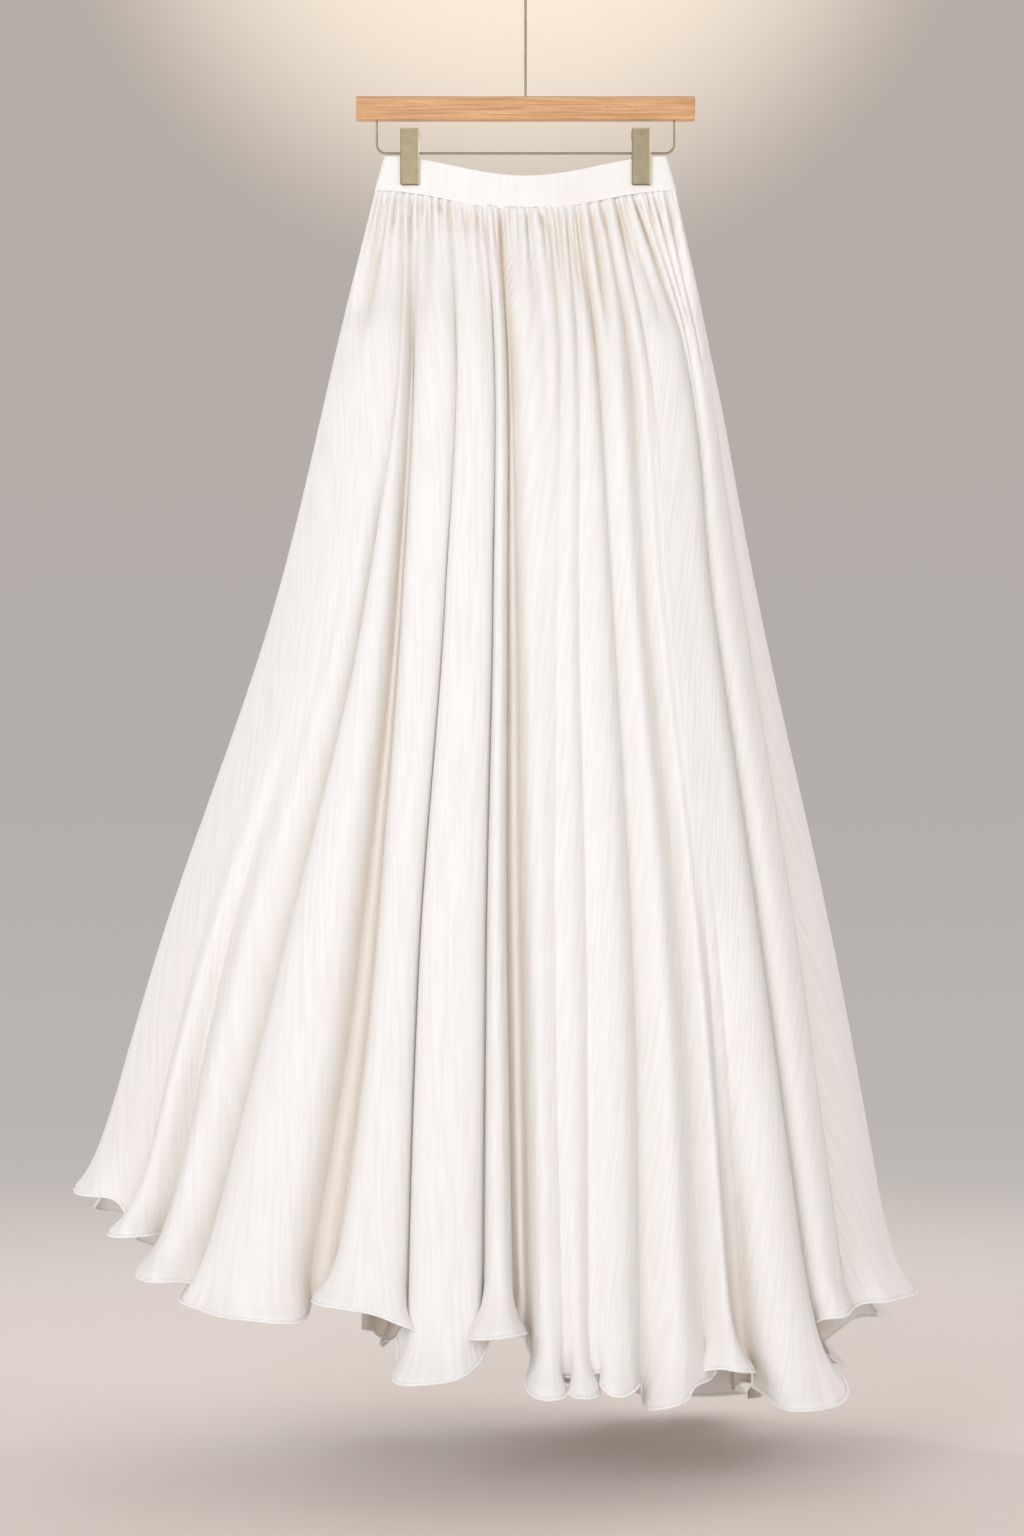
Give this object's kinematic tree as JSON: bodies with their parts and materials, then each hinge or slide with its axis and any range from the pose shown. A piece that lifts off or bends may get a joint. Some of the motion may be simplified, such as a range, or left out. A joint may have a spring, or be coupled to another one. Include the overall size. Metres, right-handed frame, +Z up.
{
  "type": "maxi skirt on clip hanger",
  "caption": "Gathered ivory maxi skirt with a plain waistband, hanging by two clips from a flat wooden hanger.",
  "frame": {"origin": "inside top of the hook, where it bears on a rail", "axes": "+Z up; the skirt's front faces -Y; +X towards the right side of the front view"},
  "size_m": [0.8201, 0.3953, 1.4925],
  "materials": {
    "crepe": "ivory crinkled crepe, matt with a soft sheen",
    "band": "ivory crepe, two layers pressed flat",
    "button": "pale shell, polished",
    "wood": "pale beech, oiled",
    "brass": "antique brass plate, satin"
  },
  "bodies": {
    "root": {"skirt_front": "crepe", "skirt_back": "crepe", "waistband_front": "band", "waistband_back_left": "band", "waistband_back_right": "band", "waist_button": "button", "hanger_bar": "wood", "hanger_hook": "brass", "hanger_wire": "brass", "clip_left_front": "brass", "clip_left_back": "brass", "clip_right_front": "brass", "clip_right_back": "brass"}
  },
  "joints": []
}
